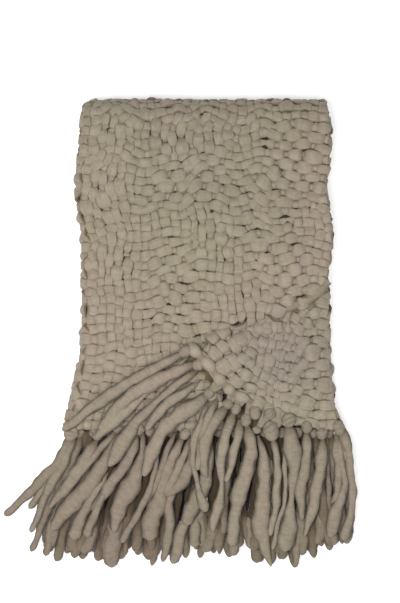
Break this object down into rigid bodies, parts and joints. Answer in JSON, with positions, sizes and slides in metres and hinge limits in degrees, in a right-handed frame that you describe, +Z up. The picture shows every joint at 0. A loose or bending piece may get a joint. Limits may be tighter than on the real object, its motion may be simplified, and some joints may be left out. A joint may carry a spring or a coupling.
{
  "type": "folded woven throw",
  "caption": "Thick woven wool throw, folded in thirds and then double, one corner drawn out over the top, with a knotted fringe lying on the floor at the open end.",
  "frame": {"origin": "on the floor under the middle of the whole throw with its fringe", "axes": "+Y from the fringe towards the far fold, +X to the right seen from above with the fringe nearest, +Z up"},
  "size_m": [0.5826, 0.7902, 0.088],
  "materials": {
    "wool": "matte undyed wool roving"
  },
  "bodies": {
    "root": {"throw": "wool", "fringe_flap": "wool", "fringe_top_front": "wool", "fringe_middle_front": "wool", "fringe_middle_back": "wool", "fringe_inner_back": "wool", "fringe_outer_back": "wool"}
  },
  "joints": []
}
